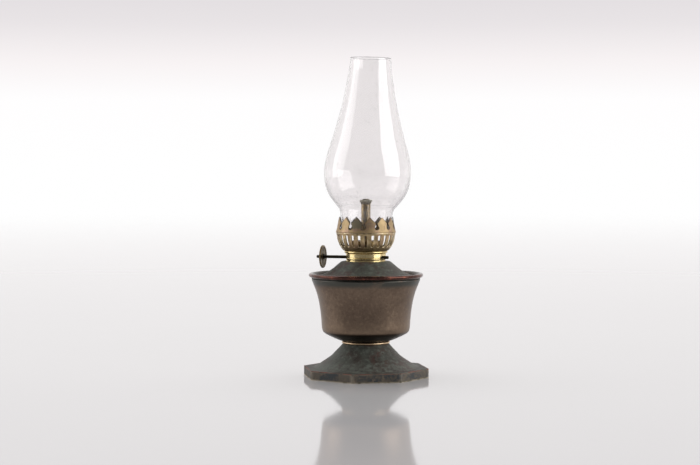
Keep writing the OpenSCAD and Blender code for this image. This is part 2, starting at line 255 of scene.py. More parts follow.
def cut(obj, cutter):
    """Takes the cutter out of the piece, and throws the cutter away."""
    modify(obj, "BOOLEAN", operation="DIFFERENCE", solver="EXACT", object=cutter)
    bpy.data.objects.remove(cutter)


def placed(obj, matrix):
    """Moves a piece's mesh, and leaves its object at the origin."""
    obj.data.transform(matrix)
    return obj


def turned(obj, angle):
    """Turns a piece's mesh about the lamp's axis."""
    return placed(obj, Matrix.Rotation(angle, 4, "Z"))


def rod(radius, depth, vertices=32):
    """A cylinder round the Z axis, in mm."""
    clear_selection()
    bpy.ops.mesh.primitive_cylinder_add(vertices=vertices, radius=radius * MM,
                                        depth=depth * MM)
    return bpy.context.object


def hand_made(obj, size_mm, depth_mm):
    """Gives a spun surface the slight waves of handwork."""
    waves = bpy.data.textures.new(obj.name + "_waves", "CLOUDS")
    waves.noise_scale = size_mm * MM
    modify(obj, "DISPLACE", texture=waves, strength=depth_mm * MM, mid_level=0.5,
           texture_coords="LOCAL")


def mark_wear(obj, sharp=0.25, full=0.7):
    """Writes how sharp the piece's outward edges are, where a finish rubs thin."""
    mesh = bmesh.new()
    mesh.from_mesh(obj.data)
    wear = []
    for vert in mesh.verts:
        bends = [edge.calc_face_angle_signed(0) for edge in vert.link_edges]
        wear.append(min(max((max(bends, default=0) - sharp) / (full - sharp), 0), 1))
    mesh.free()
    attribute = obj.data.attributes.new("wear", "FLOAT", "POINT")
    attribute.data.foreach_set("value", wear)


def finish_piece(obj, slot, *nodes, sharp=0.25, full=0.7):
    """Smooths, paints and registers a piece that stands for CAD nodes of one body."""
    mark_wear(obj, sharp, full)
    pick(obj)
    bpy.ops.object.shade_smooth_by_angle(angle=math.radians(35))
    obj.data.materials.clear()
    obj.data.materials.append(finish(slot))
    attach(obj, BODY_OF[nodes[0]])
    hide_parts(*nodes)


def done():
    clear_selection()
    return {"FINISHED"}


# ---------- materials ----------

class Nodes:
    """A node tree, with a short call for each kind of node that is used."""

    def __init__(self, tree):
        self.tree = tree

    def node(self, kind, **settings):
        made = self.tree.nodes.new(kind)
        for key, value in settings.items():
            setattr(made, key, value)
        return made

    def join(self, value, socket):
        if isinstance(value, bpy.types.NodeSocket):
            self.tree.links.new(value, socket)
        elif socket.type == "RGBA":
            socket.default_value = (*value, 1)
        else:
            socket.default_value = value

    def axis(self, place, name):
        """One coordinate of a place."""
        apart = self.node("ShaderNodeSeparateXYZ")
        self.join(place, apart.inputs["Vector"])
        return apart.outputs[name]

    def math(self, operation, *values):
        made = self.node("ShaderNodeMath", operation=operation)
        for value, socket in zip(values, made.inputs):
            self.join(value, socket)
        return made.outputs["Value"]

    def mix(self, share, a, b):
        made = self.node("ShaderNodeMix", data_type="RGBA")
        for value, index in ((share, 0), (a, 6), (b, 7)):
            self.join(value, made.inputs[index])
        return made.outputs[2]

    def stops(self, value, stops):
        """A colour ramp with (position, colour) stops."""
        made = self.node("ShaderNodeValToRGB")
        self.join(value, made.inputs["Fac"])
        while len(made.color_ramp.elements) < len(stops):
            made.color_ramp.elements.new(0.5)
        for element, (at, rgb) in zip(made.color_ramp.elements, stops):
            element.position = at
            element.color = (*rgb, 1)
        return made.outputs["Color"]


class Finish(Nodes):
    """A material, whose colour is built up in layers."""

    def __init__(self, colour=None, **sockets):
        self.material = bpy.data.materials.new("finish")
        self.material.use_nodes = True
        super().__init__(self.material.node_tree)
        self.shader = self.tree.nodes["Principled BSDF"]
        self.place = self.node("ShaderNodeTexCoord").outputs["Object"]
        self.colour = colour
        for key, value in sockets.items():
            self.put(key, value)

    def put(self, key, value):
        self.join(value, self.shader.inputs[key.replace("_", " ").title()
                                            .replace("Ior", "IOR")])

    def cover(self, share, colour):
        """Lays a colour over the finish, by a share from 0 to 1."""
        self.colour = self.mix(share, self.colour, colour)

    def stain(self, colour, value, *limits):
        """Lays a colour over the finish where the value goes from start to end."""
        self.cover(self.ramp(value, *limits), colour)

    def stretched(self, x, y, z):
        """The piece's own coordinates, scaled along each axis, to draw a pattern out."""
        made = self.node("ShaderNodeMapping")
        made.inputs["Scale"].default_value = (x, y, z)
        self.join(self.place, made.inputs["Vector"])
        return made.outputs["Vector"]

    def noise(self, per_metre, detail=4, rough=0.55, where=None, warp=0):
        made = self.node("ShaderNodeTexNoise")
        self.join(where or self.place, made.inputs["Vector"])
        made.inputs["Scale"].default_value = per_metre
        made.inputs["Detail"].default_value = detail
        made.inputs["Roughness"].default_value = rough
        made.inputs["Distortion"].default_value = warp
        return made.outputs["Fac"]

    def cells(self, per_metre):
        made = self.node("ShaderNodeTexVoronoi")
        self.join(self.place, made.inputs["Vector"])
        made.inputs["Scale"].default_value = per_metre
        return made.outputs["Distance"]

    def ramp(self, value, start, end, low_out=0.0, high_out=1.0):
        made = self.node("ShaderNodeMapRange", interpolation_type="SMOOTHSTEP")
        for socket, number in zip(made.inputs[:5], (value, start, end, low_out, high_out)):
            self.join(number, socket)
        return made.outputs["Result"]

    def height(self):
        """Height above the table, in millimetres."""
        return self.math("DIVIDE", self.axis(self.place, "Z"), MM)

    def radius(self):
        """Distance from the lamp's axis, in millimetres."""
        flat = self.node("ShaderNodeVectorMath", operation="LENGTH")
        self.join(self.stretched(1 / MM, 1 / MM, 0), flat.inputs[0])
        return flat.outputs["Value"]

    def band(self, start, full, end, gone):
        """1 between two heights in mm, and fading to 0 outside them."""
        z = self.height()
        return self.math("MULTIPLY", self.ramp(z, start, full), self.ramp(z, end, gone, 1, 0))

    def wear(self):
        return self.node("ShaderNodeAttribute", attribute_name="wear").outputs["Fac"]

    def bump(self, *layers):
        """Stacks bumps, each (height, depth in mm)."""
        normal = None
        for value, depth in layers:
            made = self.node("ShaderNodeBump")
            made.inputs["Distance"].default_value = depth * MM
            self.join(value, made.inputs["Height"])
            if normal:
                self.join(normal, made.inputs["Normal"])
            normal = made.outputs["Normal"]
        self.join(normal, self.shader.inputs["Normal"])


def aged_metal(base, dark, thin, rough, metallic=1.0, spread=90, spots=1400, cloudy=1.0):
    """Old metal: base colour, darker clouds and pits, and a thinner colour on its edges."""
    made = Finish(base, metallic=metallic)
    clouds = made.noise(spread, 6, 0.62, warp=0.6)
    grain = made.noise(spots, 3, 0.6)
    made.stain(dark, clouds, 0.35, 0.7, 0, cloudy)
    made.stain(dark, grain, 0.58, 0.7, 0, 0.7)
    rub = made.math("MULTIPLY", made.wear(), made.ramp(made.noise(500, 3), 0.35, 0.55))
    made.cover(rub, thin)
    made.clouds, made.grain = clouds, grain
    roughness = made.ramp(clouds, 0.3, 0.75, rough, rough + 0.18)
    made.put("roughness", made.math("SUBTRACT", roughness, made.math("MULTIPLY", rub, 0.12)))
    made.bump((clouds, 0.06), (grain, 0.02))
    return made


def verdigris_bronze(look):
    """The foot and the shoulder: grey-green verdigris, mottled with red-brown and black."""
    made = Finish(look.verdigris)
    clouds = made.noise(34, 5, 0.6, warp=0.9)
    mottle = made.noise(330, 6, 0.7, warp=0.3)
    specks = made.noise(1500, 3, 0.65)
    made.stain(look.patina_brown, clouds, 0.36, 0.64)
    made.stain(look.bronze_red, made.noise(52, 5, 0.65, warp=1.4), 0.5, 0.68, 0, 0.8)
    made.stain(look.verdigris_pale, mottle, 0.5, 0.62, 0, 0.7)
    made.stain(look.bronze_black, mottle, 0.46, 0.34, 0, 0.7)
    side_top = size("foot_edge")
    # Pale verdigris round the trumpet's foot, which is partly patina and partly a painted
    # highlight on the curve there.
    ledge = made.band(side_top, side_top + 0.6, side_top + 2, side_top + 7)
    made.cover(made.math("MULTIPLY", ledge, made.ramp(mottle, 0.35, 0.6, 0.1, 0.6)),
               look.verdigris_pale)
    side = made.ramp(made.height(), side_top - 0.3, side_top - 0.9)
    patches = made.mix(made.ramp(made.noise(85, 5, 0.65, warp=0.8), 0.44, 0.6),
                       look.bronze_olive, look.patina_dark)
    patches = made.mix(made.ramp(mottle, 0.5, 0.68, 0, 0.4), patches, look.bronze_gold)
    made.cover(side, patches)
    made.stain(look.brass_olive, made.height(), 1.1, 0.5, 0, 0.7)
    made.stain(look.bronze_black, specks, 0.62, 0.7, 0, 0.8)
    rub = made.math("MULTIPLY", made.wear(), made.ramp(made.noise(190, 4, 0.6), 0.36, 0.56))
    # The rubbed edges on the foot's upright side are made pale, which is partly real wear and
    # partly a painted highlight along its corners.
    made.cover(rub, made.mix(side, look.copper, look.bronze_bright))
    made.put("metallic", made.ramp(rub, 0, 1, 0.15, 1))
    made.put("roughness", made.ramp(mottle, 0.35, 0.65, 0.54, 0.72))
    made.bump((clouds, 0.08), (mottle, 0.07), (specks, 0.02))
    return made


def oxidised_bronze(look):
    """The bowl: brown bronze, dark green under a reddish rim, and painted nearly black beneath as
    shade.
    """
    made = aged_metal(look.bronze, look.bronze_dark, look.copper, 0.36, 0.95,
                      spread=40, spots=1000, cloudy=0.45)
    rim, foot = high("font_bowl"), low("font_bowl")
    freckles = made.noise(430, 6, 0.7)
    made.stain(look.bronze_gold, freckles, 0.5, 0.66, 0, 0.35)
    made.stain(look.bronze_dark, freckles, 0.46, 0.32, 0, 0.5)
    # A lighter golden band round the lower curve of the bowl.
    made.cover(made.math("MULTIPLY", made.band(foot + 6, foot + 9, foot + 10, foot + 20),
                         0.25), look.bronze_gold)
    # Painted shade: the bowl's underside, below about 8 mm, is darkened nearly to black.
    made.stain(look.bronze_black, made.height(), foot + 8.2, foot + 5.5, 0, 0.85)
    ragged = made.ramp(made.noise(110, 5), 0.2, 0.5, 0.3, 0.95)
    green = made.band(rim - 10, rim - 6.4, rim - 2.9, rim - 2.5)
    made.cover(made.math("MULTIPLY", green, ragged), look.patina_green)
    lip = made.ramp(made.height(), rim - 2.9, rim - 2.5)
    made.cover(lip, look.bronze_red)
    streaks = made.ramp(made.noise(150, 5, 0.65), 0.5, 0.68, 0, 0.6)
    made.cover(made.math("MULTIPLY", lip, streaks), look.copper)
    bead = reach("font_bowl") - size("bead")
    inside = made.ramp(made.radius(), bead + 0.9, bead + 0.2)
    made.cover(inside, made.mix(made.math("MULTIPLY", lip, 0.8), made.colour,
                                look.patina_green))
    lathe = made.noise(1, 3, 0.6, where=made.stretched(30, 30, 1600))
    made.bump((made.clouds, 0.05), (freckles, 0.05), (lathe, 0.012))
    made.put("roughness", made.math("SUBTRACT", made.ramp(freckles, 0.35, 0.7, 0.31, 0.45),
                                    made.math("MULTIPLY", lip, 0.14)))
    return made


def polished_brass(look):
    """The band and the collar: rubbed bright, with fine scratches round it and dull spots."""
    made = aged_metal(look.brass, look.brass_dark, look.brass_pale, 0.2, spread=220,
                      spots=2600)
    made.cover(0.72, look.brass)
    made.stain(look.brass_dark, made.noise(700, 4, 0.6), 0.62, 0.72, 0, 0.6)
    scratches = made.noise(1, 4, 0.7, where=made.stretched(120, 120, 4200))
    made.put("roughness", made.ramp(scratches, 0.3, 0.7, 0.16, 0.3))
    made.bump((scratches, 0.01), (made.grain, 0.008))
    return made


def basket_brass(look):
    """The basket: golden brass, stained brown in patches."""
    made = aged_metal(look.brass_basket, look.brass_dark, look.brass_pale, 0.36, spread=170,
                      spots=1800, cloudy=0.8)
    made.stain(look.copper_dull, made.noise(95, 5, 0.62, warp=0.8), 0.48, 0.64, 0, 0.6)
    return made


def crown_copper(look):
    """The crown: copper-brown leaves with golden patches, some dulled green by the flame."""
    made = aged_metal(look.copper_dull, look.brass_dark, look.bronze_black, 0.4,
                      metallic=0.6, spread=140, spots=1500, cloudy=0.5)
    leaf = made.node("ShaderNodeAttribute", attribute_name="tone").outputs["Fac"]
    tone = made.math("ADD", leaf, made.ramp(made.noise(260, 5, 0.65, warp=0.5), 0.32, 0.68,
                                            -0.35, 0.35))
    made.stain(look.brass_old, tone, 0.25, 0.5, 0.9, 0)
    made.stain(look.heat_green, tone, 0.65, 0.9, 0, 0.85)
    top = high("gallery_crown")
    made.stain(look.copper_dull, made.height(), top - 4, top, 0, 0.35)
    made.stain(look.bronze_black, made.wear(), 0.2, 0.8, 0, 0.7)
    return made


def tarnished_tube(look):
    """The wick tube: grey-brown, with golden streaks down it and a pale, scaly mouth."""
    made = aged_metal(look.tube, look.brass_dark, look.brass_old, 0.38, metallic=0.75,
                      spread=200, spots=1600, cloudy=0.5)
    streaks = made.noise(1, 4, 0.6, where=made.stretched(900, 900, 60))
    made.stain(look.brass_old, streaks, 0.45, 0.65, 0, 0.7)
    mouth = high("tube_flange")
    scale = made.math("MULTIPLY", made.ramp(made.height(), mouth - 2.4, mouth - 0.8),
                      made.ramp(made.noise(800, 4), 0.35, 0.55, 0.6, 0.95))
    made.cover(scale, look.scale)
    made.put("metallic", made.ramp(scale, 0, 1, 0.75, 0.1))
    return made


# Metals that need no more than their colours (base, dark, thin), roughness and spread.
PLAIN_METALS = {
    "copper_bead": (("bead", "bronze_dark", "copper_bright"), 0.3,
                    {"spread": 120, "cloudy": 0.4}),
    "wheel_brass": (("brass_olive", "brass_dark", "brass_old"), 0.38, {"spread": 180}),
    "dark_shaft": (("shaft", "bronze_black", "brass_olive"), 0.35,
                   {"metallic": 0.85, "spread": 260}),
    "aged_brass": (("brass_old", "brass_dark", "brass"), 0.36, {"spread": 160}),
    "dark_bronze": (("bronze_dark", "bronze_black", "copper"), 0.5,
                    {"metallic": 0.8, "spread": 80}),
}


def cork(look):
    made = Finish(look.cork, roughness=0.85)
    grains = made.cells(1500)
    made.stain(look.cork_dark, grains, 0.1, 0.5)
    made.bump((grains, 0.15))
    return made


def cotton_wick(look):
    """Plaited cotton, charred at its tip."""
    made = Finish(look.cotton, roughness=0.95)
    weft = made.node("ShaderNodeTexWave", wave_type="BANDS", bands_direction="DIAGONAL")
    made.join(made.place, weft.inputs["Vector"])
    weft.inputs["Scale"].default_value = 260
    weft.inputs["Distortion"].default_value = 1.5
    weave = weft.outputs["Fac"]
    made.stain(look.cotton_shade, weave, 0.2, 0.8)
    tip = high("wick")
    char = made.ramp(made.height(), tip - 3.5, tip - 0.8)
    made.cover(made.math("MULTIPLY", char, made.ramp(made.noise(900, 4), 0.4, 0.6, 0, 0.7)),
               look.char)
    made.bump((weave, 0.3), (made.noise(3000, 3), 0.1))
    return made


def clear_glass(look):
    """Old blown glass with a little dust and a few specks on it, and painted shade where its wall
    is seen edge on.
    """
    made = Finish(look.glass, metallic=0.0, transmission_weight=0.97, ior=1.47)
    film = made.ramp(made.noise(24, 3, 0.5), 0.36, 0.66, 0.4, 0.7)
    grit = made.ramp(made.noise(800, 5, 0.8), 0.38, 0.64, 0.25, 0.8)
    dust = made.math("MULTIPLY", film, grit)
    made.cover(dust, look.glass_dusty)
    facing = made.node("ShaderNodeLayerWeight").outputs["Facing"]
    # Painted shade: the wall is darkened where it is seen edge on.
    made.stain(look.glass_edge, facing, 0.7, 0.92)
    made.stain(look.glass_mote, made.noise(700, 2, 0.5), 0.685, 0.745)
    made.put("roughness", made.math("MULTIPLY", dust, 0.05))
    return made


MATERIALS = {made.__name__: made for made in (
    verdigris_bronze, oxidised_bronze, polished_brass, basket_brass, crown_copper,
    tarnished_tube, cork, cotton_wick, clear_glass)}


def finish(slot):
    """The material of a slot, made once."""
    name = "finish_" + slot
    if name not in bpy.data.materials:
        look = bpy.context.scene.lamp_finishes
        if slot in PLAIN_METALS:
            colours, rough, settings = PLAIN_METALS[slot]
            made = aged_metal(*(getattr(look, colour) for colour in colours), rough,
                              **settings)
        else:
            made = MATERIALS[slot](look)
        made.put("base_color", made.colour)
        made.material.name = name
    return bpy.data.materials[name]


# ---------- sizes and colours ----------

def length(name, description, millimetres):
    return FloatProperty(name=name, description=description, default=millimetres * MM,
                         min=0, unit="LENGTH")


def colour(name, description, rgb):
    return FloatVectorProperty(name=name, description=description, default=rgb, size=3,
                               min=0, max=1, subtype="COLOR")


def angle(name, description, degrees):
    return FloatProperty(name=name, description=description, default=math.radians(degrees),
                         unit="ROTATION")


def power(name, watts):
    return FloatProperty(name=name, description="Its power in watts", default=watts, min=0)


class LampSizes(bpy.types.PropertyGroup):
    foot_edge: length("Foot edge", "Height of the foot's upright edge", 6.5)
    trumpet_foot: length("Trumpet foot", "Radius where the trumpet meets the foot", 37.5)
    foot_wall: length("Foot wall", "Thickness of the foot's sheet", 1.1)
    bead: length("Rim bead", "Radius of the bowl's rolled bead", 1.65)
    bowl_wall: length("Bowl wall", "Thickness of the bowl's sheet", 0.9)
    bowl_radius: length("Bowl radius", "Radius of the bowl near its bottom", 31.8)
    shoulder_top: length("Shoulder top", "Radius of the shoulder's flat top", 17.6)
    sheet: length("Burner sheet", "Thickness of the burner's sheet", 0.5)
    band: length("Band", "Radius of the burner's polished band", 14.5)
    glass_wall: length("Glass wall", "Thickness of the chimney's glass", 1.2)
    glass_foot: length("Glass foot", "Radius of the chimney's foot", 18.4)
    glass_bulb: length("Glass bulb", "Radius of the chimney's bulb", 31.3)
    glass_mouth: length("Glass mouth", "Radius of the chimney's mouth", 14.8)
    slots: IntProperty(name="Air slots", description="Slots round the basket", default=26, min=8)
    leaves: IntProperty(name="Leaves", description="Leaves of the crown", default=13, min=5)
    knurls: IntProperty(name="Knurls", description="Knurls of the thumb wheel", default=56, min=12)
    lean: angle("Chimney lean", "How far the chimney leans", 1.6)
    lean_towards: angle("Lean direction", "Where the chimney leans to", -10)


# The finishes' colours: (what each is, red green blue).
FINISH_COLOURS = {
    "bronze": ("Brown bronze of the bowl", (0.2, 0.145, 0.106)),
    "bronze_dark": ("Darker clouds in the bronze", (0.1, 0.07, 0.053)),
    "patina_brown": ("Between the green clouds", (0.062, 0.05, 0.04)),
    "patina_green": ("Dark green under the rim", (0.075, 0.078, 0.07)),
    "patina_dark": ("Blue-black patina", (0.045, 0.052, 0.056)),
    # Also a painted highlight round the trumpet's foot.
    "verdigris_pale": ("Its thin, pale flecks", (0.16, 0.175, 0.148)),
    "bead": ("Rubbed copper of the neck", (0.86, 0.63, 0.4)),
    "scale": ("Pale scale at the tube's mouth", (0.6, 0.58, 0.47)),
    # Also the painted shade under the bowl.
    "bronze_black": ("Nearly black patina", (0.022, 0.017, 0.016)),
    "bronze_red": ("Reddish patina", (0.085, 0.038, 0.03)),
    "bronze_olive": ("The foot's upright edge", (0.12, 0.1, 0.075)),
    # Partly wear and partly a painted highlight along the foot's corners.
    "bronze_bright": ("The foot's rubbed corners", (0.62, 0.55, 0.45)),
    "bronze_gold": ("Rubbed bronze", (0.34, 0.25, 0.17)),
    "verdigris": ("Grey-green patina", (0.09, 0.098, 0.08)),
    "copper": ("Rubbed edges", (0.27, 0.095, 0.06)),
    "copper_bright": ("Highlights of the bead", (0.72, 0.5, 0.36)),
    "copper_dull": ("Heated brass", (0.47, 0.31, 0.2)),
    "brass": ("Polished brass", (0.88, 0.7, 0.34)),
    "brass_pale": ("Brass rubbed bright", (0.88, 0.76, 0.50)),
    "brass_basket": ("Brass of the basket", (0.64, 0.49, 0.27)),
    "brass_old": ("Tarnished brass", (0.44, 0.32, 0.16)),
    "brass_olive": ("Dark tarnished brass", (0.15, 0.125, 0.07)),
    "brass_dark": ("Deep tarnish", (0.10, 0.07, 0.04)),
    "heat_green": ("Brass dulled green by the flame", (0.23, 0.21, 0.14)),
    "tube": ("Grey-brown of the wick tube", (0.48, 0.44, 0.38)),
    "shaft": ("Oily dark steel", (0.045, 0.04, 0.022)),
    "cork": ("Cork", (0.19, 0.11, 0.055)),
    "cork_dark": ("Cork's darker grains", (0.06, 0.035, 0.02)),
    "cotton": ("Cotton yarn", (0.62, 0.56, 0.43)),
    "cotton_shade": ("Between the yarns", (0.34, 0.29, 0.2)),
    "char": ("Burnt cotton", (0.3, 0.27, 0.2)),
    "glass": ("Clean glass", (0.985, 0.972, 0.975)),
    "glass_dusty": ("Glass under dust", (0.935, 0.92, 0.922)),
    # Painted shade on the glass's edges.
    "glass_edge": ("The wall where it is seen edge on", (0.6, 0.6, 0.58)),
    "glass_mote": ("Specks on the glass", (0.55, 0.54, 0.52)),
}


class LampFinishes(bpy.types.PropertyGroup):
    """The colours that the materials are made of"""
    __annotations__ = {key: colour(key.replace("_", " ").capitalize(), about, rgb)
                       for key, (about, rgb) in FINISH_COLOURS.items()}


class LampStudio(bpy.types.PropertyGroup):
    floor: colour("Floor", "The pale floor", (0.80, 0.79, 0.80))
    left_power: power("Left softbox", 3.6)
    right_power: power("Right softbox", 8)
    wash_power: power("Floor wash", 30)
    camera_away: length("Camera distance", "From the lamp's axis to the camera", 1220)
    camera_height: length("Camera height", "Height of the camera", 151)
    azimuth: angle("Azimuth", "Where the camera stands round the lamp", -10.3)


# ---------- pieces ----------

class LAMP_OT_foot(bpy.types.Operator):
    """Press the foot: a trumpet that spreads into an octagon with a turned-down edge"""
    bl_idname = "lamp.foot"
    bl_label = "Foot"

    def execute(self, context):
        edge, spread = size("foot_edge"), size("trumpet_foot")
        top = high("foot_pedestal")
        neck = reach("neck_ring") - NECK_BEAD
        flat_half = reach("foot_pedestal")
        outline = [(2.7, top), (neck - 0.6, top)] + curve(
            [(neck, top - 0.2), (neck + 2.4, top - 2.9), (neck + 5.6, edge + 11.3),
             (neck + 8.9, edge + 8), (spread - 6, edge + 3.9), (spread - 1.4, edge + 0.9),
             (spread + 1.4, edge)], 6)
        outline += [(flat_half - 0.9 + k, edge) for k in (-1.2, 0, 1.3, 2.5, 3.4, 9)]
        foot = spun("foot_shell", outline)
        edit(foot)
        for k in range(8):
            turn = math.radians(45 * k)
            out = Vector((math.cos(turn), math.sin(turn), 0))
            bpy.ops.mesh.select_all(action="SELECT")
            bpy.ops.mesh.bisect(plane_co=out * flat_half * MM, plane_no=out,
                                clear_outer=True, clear_inner=False)
        choose(foot, lambda at, part: part.is_boundary and at.xy.length > spread, "EDGE")
        for step in (1.0, 0.5, (edge - 3) / 2, (edge - 3) / 2, 0.5, 1.0):
            bpy.ops.mesh.extrude_edges_move(
                TRANSFORM_OT_translate={"value": (0, 0, -step * MM)})
        close_edit(MM / 200)
        modify(foot, "SOLIDIFY", offset=-1, use_even_offset=True,
               thickness=context.scene.lamp_sizes.foot_wall)
        round_edges(foot, 0.5, 3, 28)
        finish_piece(foot, "verdigris_bronze", "foot_pedestal", sharp=0.1, full=0.3)
        return done()


class LAMP_OT_neck_ring(bpy.types.Operator):
    """Turn the copper ring between the foot and the bowl"""
    bl_idname = "lamp.neck_ring"
    bl_label = "Neck ring"

    def execute(self, context):
        bottom, top = low("neck_ring"), high("neck_ring")
        half = (top - bottom) / 2
        bead = reach("neck_ring") - NECK_BEAD
        outline = ([(11.1, bottom), (bead - 0.4, bottom)]
                   + arc(bead, bottom + half, NECK_BEAD, -90, 90, 12)
                   + [(bead - 0.4, top), (11.1, top)])
        ring = spun("neck_bead", outline, closed=True)
        finish_piece(ring, "copper_bead", "neck_ring")
        return done()


class LAMP_OT_bowl(bpy.types.Operator):
    """Spin the oil bowl, with its rolled rim"""
    bl_idname = "lamp.bowl"
    bl_label = "Bowl"

    def execute(self, context):
        bead, wall, body = size("bead"), size("bowl_wall"), size("bowl_radius")
        bottom = low("font_bowl")
        rim = high("font_bowl") - bead
        rim_r = reach("font_bowl") - bead
        neck = reach("neck_ring") - NECK_BEAD
        tall = rim - bottom
        skin = raised(curve(
            [(neck - 0.6, 0), (neck + 3.8, 1.3), (body - 4.6, 4.4), (body - 1.2, 6.6),
             (body - 0.1, 9.4), (body + 0.3, 14.5), (body + 0.9, 21), (body + 2.1, 28.6),
             (body + 3.8, 35.2), (body + 5.7, 40.2), (body + 7.3, 44.4),
             (rim_r - 0.9, tall - bead - 0.6)], 5), bottom)
        roll = raised(curve(
            [(rim_r - 0.2, -1.45), (rim_r + 0.75, -1.05), (rim_r + 1.35, -0.45),
             (rim_r + 1.62, 0.25), (rim_r + 1.4, 1.0), (rim_r + 0.75, 1.5), (rim_r, 1.64),
             (rim_r - 0.8, 1.35), (rim_r - 1.4, 0.6), (rim_r - 1.62, -0.4),
             (rim_r - 1.5, -1.5)], 4), rim)
        inner = [point for point in reversed(beside(skin, wall)) if point[1] < rim - bead]
        outline = ([(0, bottom)] + skin + roll + inner[1:-1]
                   + [(neck - 0.8, bottom + wall), (0, bottom + wall)])
        bowl = spun("oil_bowl", outline)
        hand_made(bowl, 26, 0.12)
        finish_piece(bowl, "oxidised_bronze", "font_bowl")
        return done()


class LAMP_OT_shoulder(bpy.types.Operator):
    """Spin the shoulder that closes the bowl, down to the ledge inside the rim"""
    bl_idname = "lamp.shoulder"
    bl_label = "Shoulder"

    def execute(self, context):
        top = high("font_shoulder")
        ledge = reach("font_shoulder") - SOLDER_GAP
        ledge_z = high("font_bowl") - 2 * size("bead") + 1.05
        flat = size("shoulder_top")
        skin = [(13.3, top), (14.6, top)] + curve(
            [(flat - 0.8, top), (flat + 0.4, top - 0.4), (flat + 3, top - 2.5),
             (flat + 6.4, top - 5.3), (flat + 11, top - 8.3), (ledge - 4.4, ledge_z + 0.5),
             (ledge - 2.6, ledge_z)], 6) + [(ledge, ledge_z)]
        outline = skin + list(reversed(beside(skin, -0.8)))
        shoulder = spun("bowl_shoulder", outline, closed=True)
        finish_piece(shoulder, "verdigris_bronze", "font_shoulder")
        return done()


class LAMP_OT_band(bpy.types.Operator):
    """Spin the polished band of the burner, with its beads, and pierce it for the shaft"""
    bl_idname = "lamp.band"
    bl_label = "Band"

    def execute(self, context):
        band, sheet = size("band"), size("sheet")
        well, top = low("burner_cup"), high("burner_cup")
        bottom = high("burner_gasket") + SOLDER_GAP
        bead = reach("burner_cup") - 0.85
        outline = ([(3.4, well), (10.8, well), (10.94, well + 0.14), (10.94, bottom),
                    (band - 0.5, bottom)]
                   + arc(band - 0.5, bottom + 0.5, 0.5, -80, 60, 6)
                   + [(band - 0.3, bottom + 1.1), (band, bottom + 1.4), (band, top - 2.1),
                      (band - 0.25, top - 1.85), (band - 0.1, top - 1.6)]
                   + arc(bead, top - 0.85, 0.85, -60, 90, 12)
                   + [(bead - 0.4, top), (bead - 0.4, top - sheet),
                      (bead - 0.2, top - 1.3), (band - sheet - 0.2, top - 1.7),
                      (band - sheet, top - 2.2), (band - sheet, bottom + sheet),
                      (10.44, bottom + sheet), (10.44, well + sheet), (3.4, well + sheet)])
        cup = spun("burner_band", outline, closed=True)
        for side in (-1, 1):
            cut(cup, placed(rod(1.2, 8), shaft_place(side * 14)))
        vent = Vector(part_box("vent_tube")[0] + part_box("vent_tube")[1]) / 2
        cut(cup, placed(rod(1.15, 3), Matrix.Translation((vent.x, vent.y, well * MM))))
        finish_piece(cup, "polished_brass", "burner_cup")
        return done()


class LAMP_OT_basket(bpy.types.Operator):
    """Press the basket: a fluted cup pierced all round with air slots, with a turned rim"""
    bl_idname = "lamp.basket"
    bl_label = "Basket"

    def execute(self, context):
        sizes = context.scene.lamp_sizes
        slots = sizes.slots
        columns = 6
        bottom, top = low("gallery_basket"), high("gallery_basket")
        rim = reach("gallery_basket")
        side = raised(curve([(15.9, 0), (16.9, 1.1), (18.6, 3.5), (19.9, 6.6), (20.45, 9.6),
                             (20.7, 11.7)], 4), bottom)
        outline = ([(14.2, bottom + 0.48), (15.2, bottom + 0.48)] + side
                   + [(20.85, top - 0.35), (21.1, top - 0.05), (rim - 0.02, top - 0.02)])
        basket = spun("air_basket", outline, steps=slots * columns)
        turn = math.radians(FIRST_SLOT)
        pitch = 2 * math.pi / slots
        turned(basket, turn)
        edit(basket)

        def column(at):
            return ((math.atan2(at.y, at.x) - turn) / pitch + 0.5) % 1 - 0.5

        choose(basket, lambda at, part: abs(column(at)) < 1 / columns
               and bottom + 2.6 < at.z < bottom + 10.7)
        bpy.ops.mesh.delete(type="FACE")
        choose(basket, lambda at, part: abs(column(at)) > 2 / columns
               and bottom + 2.2 < at.z < bottom + 11)
        bpy.ops.transform.shrink_fatten(value=0.22 * MM)
        bpy.ops.object.mode_set(mode="OBJECT")
        modify(basket, "SOLIDIFY", thickness=sizes.sheet, offset=-1)
        modify(basket, "SUBSURF", levels=1, render_levels=1)
        hand_made(basket, 9, 0.12)
        finish_piece(basket, "basket_brass", "gallery_basket", sharp=0.15, full=0.45)
        return done()


def prism(name, outline, near, far):
    """A block with an (x, z) outline, standing from one y to another, in mm."""
    obj = traced(name, outline, near)
    bpy.ops.mesh.select_all(action="SELECT")
    bpy.ops.mesh.edge_face_add()
    bpy.ops.mesh.extrude_region_move(
        TRANSFORM_OT_translate={"value": (0, (far - near) * MM, 0)})
    close_edit()
    return obj


# How the flame has coloured each leaf: 0 golden, 0.5 copper, 1 dull green.
LEAF_TONES = (0.5, 0.2, 0.3, 0.6, 0.9, 0.2, 0.4, 0.75, 0.1, 0.5, 0.35, 0.1, 1.0)


